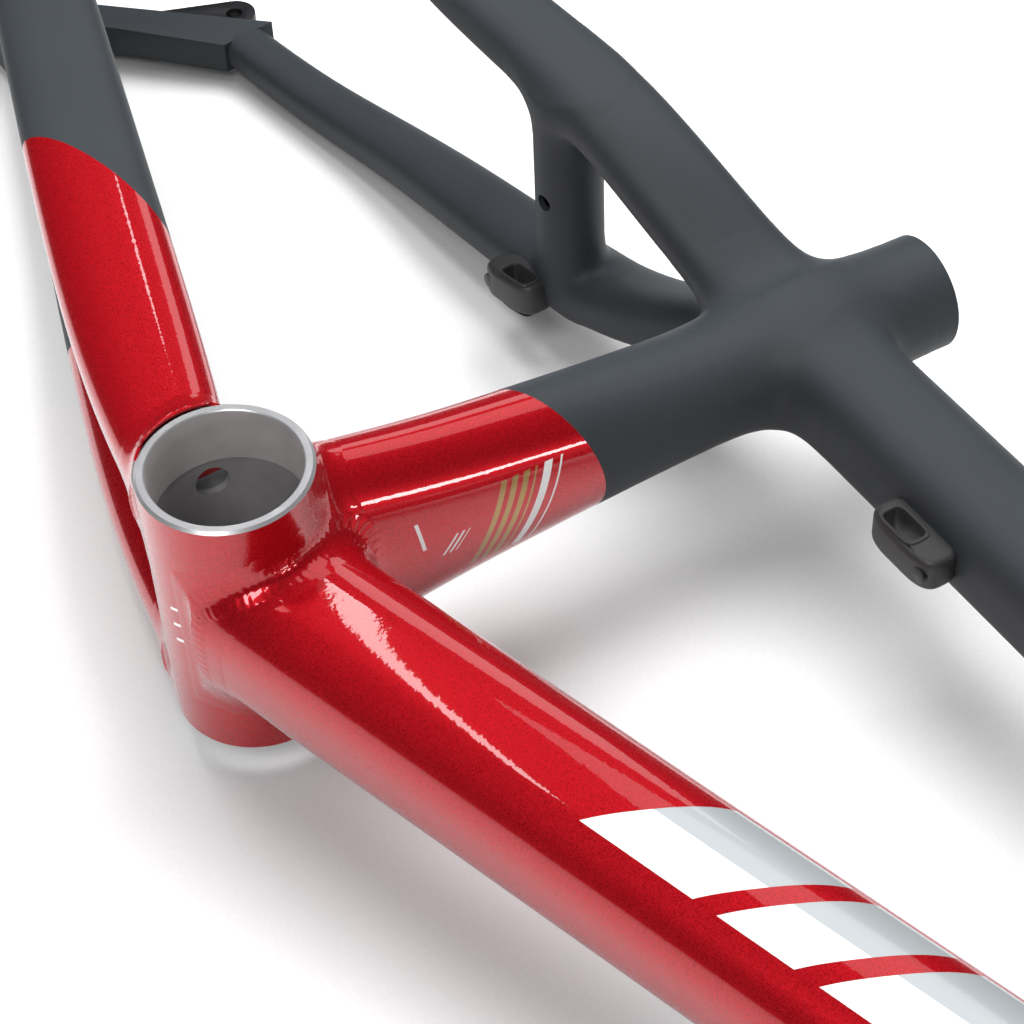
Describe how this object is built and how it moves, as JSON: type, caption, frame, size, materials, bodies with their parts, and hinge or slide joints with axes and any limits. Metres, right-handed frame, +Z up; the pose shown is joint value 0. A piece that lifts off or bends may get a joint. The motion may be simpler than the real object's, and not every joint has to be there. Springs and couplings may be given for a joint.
{
  "type": "bmx race frame",
  "caption": "BMX race frame with press-fit bottom bracket shell, tapered head tube, disc brake mount and screw-adjusted sliding rear axle blocks.",
  "frame": {"origin": "centre of the bottom bracket shell", "axes": "+X forward to the head tube, +Y to the rider's left along the bottom bracket axis, +Z up"},
  "size_m": [0.8569, 0.1428, 0.4477],
  "materials": {
    "red_paint": "metallic candy red under clear coat, gloss",
    "black_paint": "satin black",
    "bare_alloy": "machined",
    "black_anodised": "black anodised, satin",
    "steel": "zinc plated",
    "black_plastic": "moulded, satin"
  },
  "bodies": {
    "frame": {"bb_shell": "red_paint", "seat_tube": "black_paint", "top_tube": "black_paint", "down_tube": "red_paint", "head_tube": "black_paint", "chainstay_left": "black_paint", "chainstay_right": "black_paint", "seatstay_left": "black_paint", "seatstay_right": "black_paint", "seatstay_bridge": "black_paint", "dropout_left": "black_paint", "dropout_right": "black_paint", "end_cap_left": "black_anodised", "end_cap_right": "black_anodised", "end_cap_bolts_left": "steel", "end_cap_bolts_right": "steel", "top_tube_hose_guide": "black_plastic", "top_tube_guide_screw": "steel", "seatstay_hose_guide": "black_plastic", "seatstay_guide_screw": "steel"},
    "axle_block_left": {"axle_slider_left": "bare_alloy", "disc_mount": "black_anodised", "disc_mount_bolts": "steel"},
    "axle_block_right": {"axle_slider_right": "bare_alloy"},
    "adjuster_left": {"adjuster_screw_left": "steel", "adjuster_clip_left": "steel"},
    "adjuster_right": {"adjuster_screw_right": "steel", "adjuster_clip_right": "steel"}
  },
  "joints": [
    {"name": "adjuster_turn_left", "type": "hinge", "parent": "frame", "child": "adjuster_left", "pos_m": [-0.41578, 0.061, -0.048], "axis": [1, 0, 0], "range_deg": [0, 4320]},
    {"name": "axle_slide_left", "type": "slide", "parent": "frame", "child": "axle_block_left", "axis": [-1, 0, 0], "range_m": [0, 0.012]},
    {"name": "adjuster_turn_right", "type": "hinge", "parent": "frame", "child": "adjuster_right", "pos_m": [-0.41578, -0.061, -0.048], "axis": [1, 0, 0], "range_deg": [0, 4320]},
    {"name": "axle_slide_right", "type": "slide", "parent": "frame", "child": "axle_block_right", "axis": [-1, 0, 0], "range_m": [0, 0.012]}
  ],
  "couplings": [
    {"joint": "adjuster_turn_left", "follows": "axle_slide_left", "rad_per_m": 6283.2},
    {"joint": "adjuster_turn_right", "follows": "axle_slide_right", "rad_per_m": 6283.2}
  ]
}
